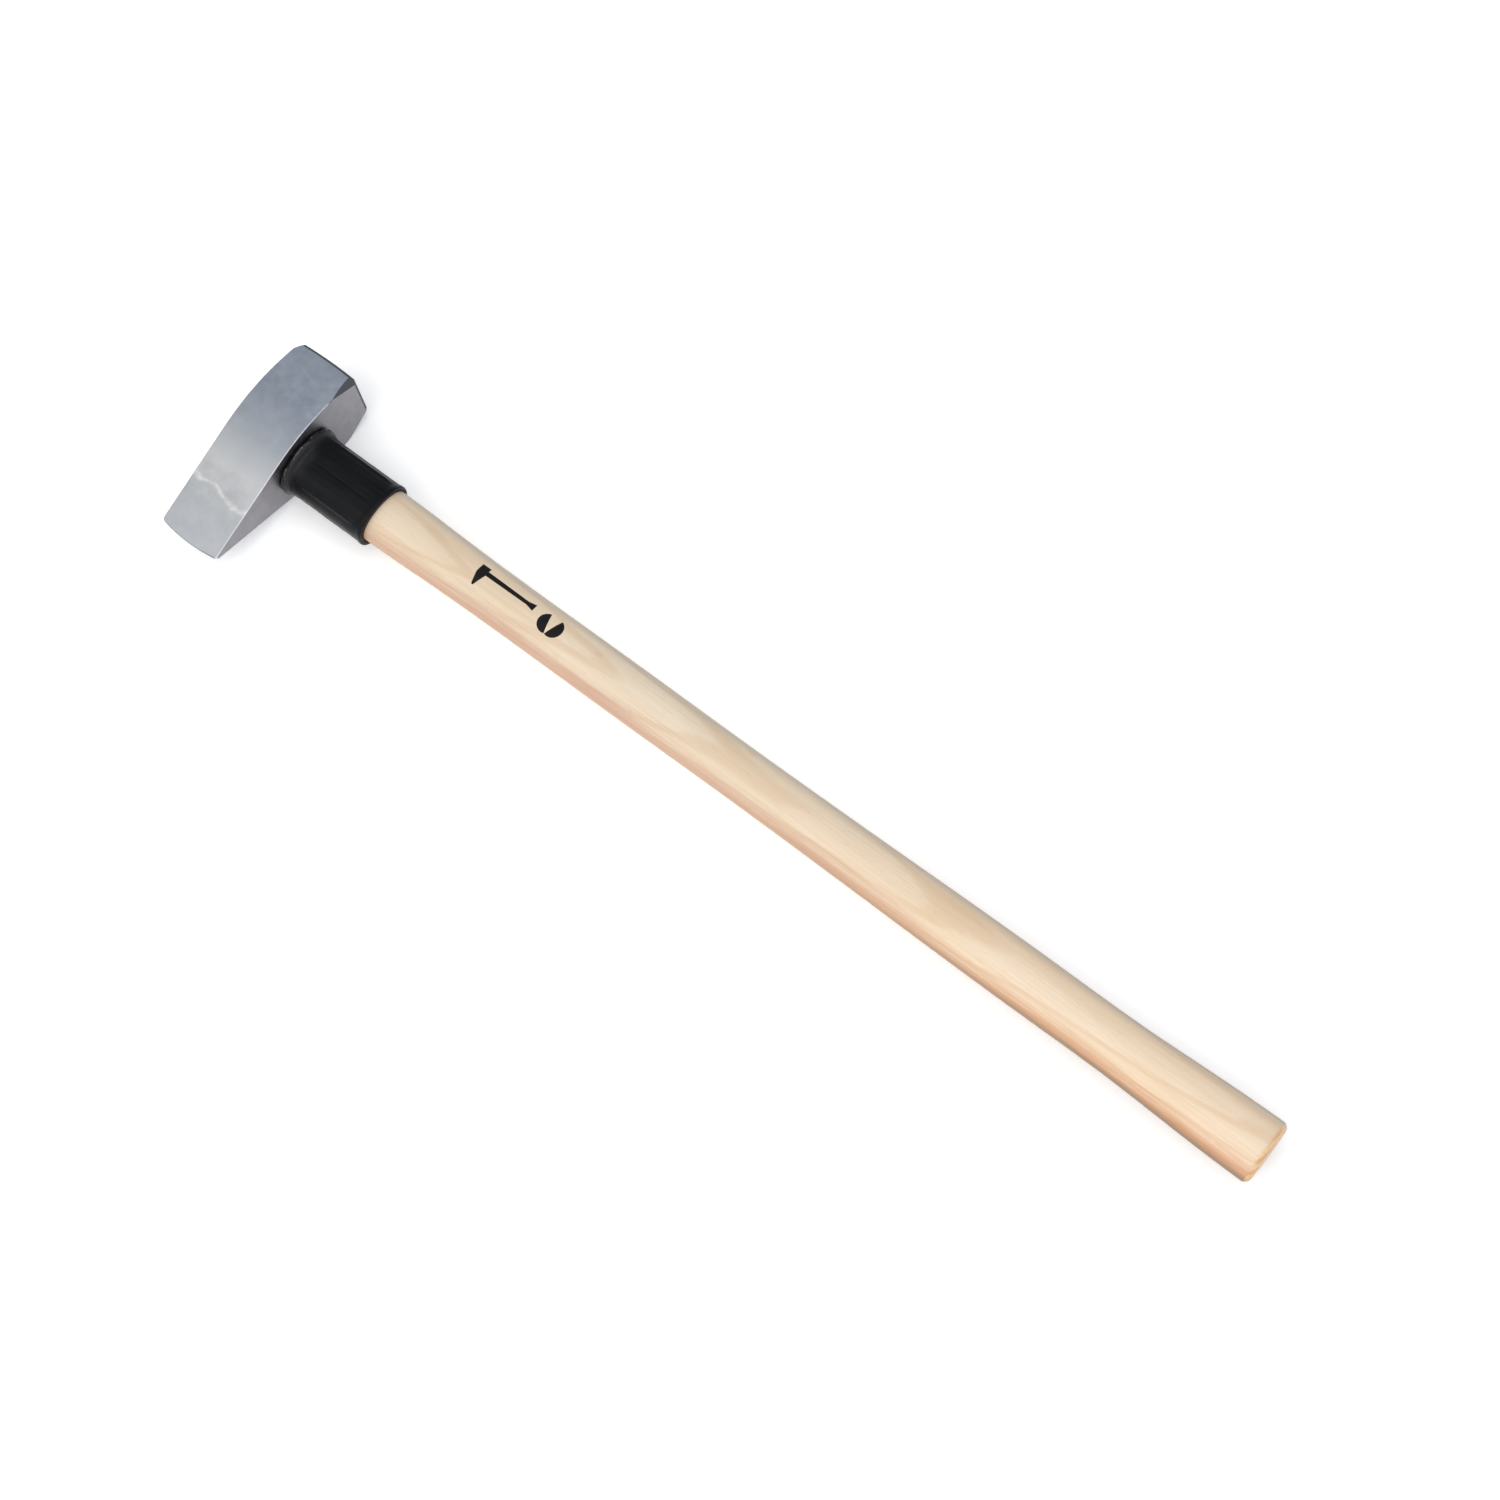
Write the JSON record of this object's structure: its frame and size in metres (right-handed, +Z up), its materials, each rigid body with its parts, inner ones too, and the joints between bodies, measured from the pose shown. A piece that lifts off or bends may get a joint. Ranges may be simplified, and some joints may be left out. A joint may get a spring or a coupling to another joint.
{
  "type": "splitting maul",
  "caption": "Splitting maul: forged steel wedge head on an oval hardwood handle, held by driven wedges, with a rubber sleeve that guards the handle below the head.",
  "frame": {"origin": "under the middle of the whole maul, on the surface it lies on; the middle is that of its bounding box", "axes": "the maul lies on its cheek: +X runs from the head along the handle to the grip end, -Y is the cutting edge, +Y is the poll, +Z is up"},
  "size_m": [0.914, 0.1692, 0.0666],
  "materials": {
    "forged_steel": "linished and clear-lacquered steel",
    "hickory": "sanded hickory with a thin clear lacquer",
    "wedge_wood": "sawn hardwood end grain",
    "wedge_steel": "dull mill steel, hammered at the end",
    "sleeve_rubber": "satin moulded rubber",
    "black_sealant": "shiny cured sealant"
  },
  "bodies": {
    "root": {"head": "forged_steel", "handle": "hickory", "wooden_wedge": "wedge_wood", "edge_side_wedge": "wedge_steel", "poll_side_wedge": "wedge_steel", "overstrike_sleeve": "sleeve_rubber", "sealant_bead": "black_sealant"}
  },
  "joints": []
}
